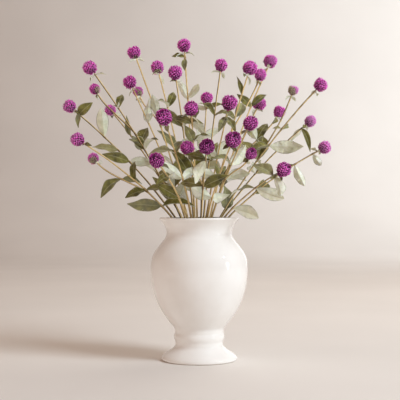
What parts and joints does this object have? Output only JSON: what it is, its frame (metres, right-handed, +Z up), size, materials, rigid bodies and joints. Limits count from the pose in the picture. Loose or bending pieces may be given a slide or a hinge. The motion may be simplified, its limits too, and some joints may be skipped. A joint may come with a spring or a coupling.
{
  "type": "dried globe amaranth bouquet",
  "caption": "Loose bouquet of dried globe amaranth: magenta globe heads on slender leafy, forked stems, standing in a white glazed pedestal vase.",
  "frame": {"origin": "centre of the vase's flat underside, on the surface that it stands on", "axes": "+Z up along the vase's axis, +X to the right and -Y to the front, as in the picture"},
  "size_m": [0.3955, 0.3121, 0.4712],
  "materials": {
    "vase_glaze": "gloss",
    "leafy_stem": "matte",
    "flower_head": "matte"
  },
  "bodies": {
    "root": {"vase": "vase_glaze", "leafy_stem_01": "leafy_stem", "leafy_stem_02": "leafy_stem", "leafy_stem_03": "leafy_stem", "leafy_stem_04": "leafy_stem", "leafy_stem_06": "leafy_stem", "leafy_stem_08": "leafy_stem", "leafy_stem_09": "leafy_stem", "leafy_stem_10": "leafy_stem", "leafy_stem_11": "leafy_stem", "leafy_stem_13": "leafy_stem", "leafy_stem_14": "leafy_stem", "leafy_stem_15": "leafy_stem", "leafy_stem_17": "leafy_stem", "leafy_stem_19": "leafy_stem", "leafy_stem_20": "leafy_stem", "leafy_stem_21": "leafy_stem", "leafy_stem_22": "leafy_stem", "leafy_stem_23": "leafy_stem", "leafy_stem_25": "leafy_stem", "leafy_stem_26": "leafy_stem", "leafy_stem_27": "leafy_stem", "leafy_stem_28": "leafy_stem", "leafy_stem_30": "leafy_stem", "leafy_stem_31": "leafy_stem", "leafy_stem_33": "leafy_stem", "flower_head_01": "flower_head", "flower_head_02": "flower_head", "flower_head_03": "flower_head", "flower_head_04": "flower_head", "flower_head_05": "flower_head", "flower_head_06": "flower_head", "flower_head_07": "flower_head", "flower_head_08": "flower_head", "flower_head_09": "flower_head", "flower_head_10": "flower_head", "flower_head_11": "flower_head", "flower_head_12": "flower_head", "flower_head_13": "flower_head", "flower_head_14": "flower_head", "flower_head_15": "flower_head", "flower_head_16": "flower_head", "flower_head_17": "flower_head", "flower_head_18": "flower_head", "flower_head_19": "flower_head", "flower_head_20": "flower_head", "flower_head_21": "flower_head", "flower_head_22": "flower_head", "flower_head_23": "flower_head", "flower_head_24": "flower_head", "flower_head_25": "flower_head", "flower_head_26": "flower_head", "flower_head_27": "flower_head", "flower_head_28": "flower_head", "flower_head_29": "flower_head", "flower_head_30": "flower_head", "flower_head_31": "flower_head", "flower_head_32": "flower_head", "flower_head_33": "flower_head"}
  },
  "joints": []
}
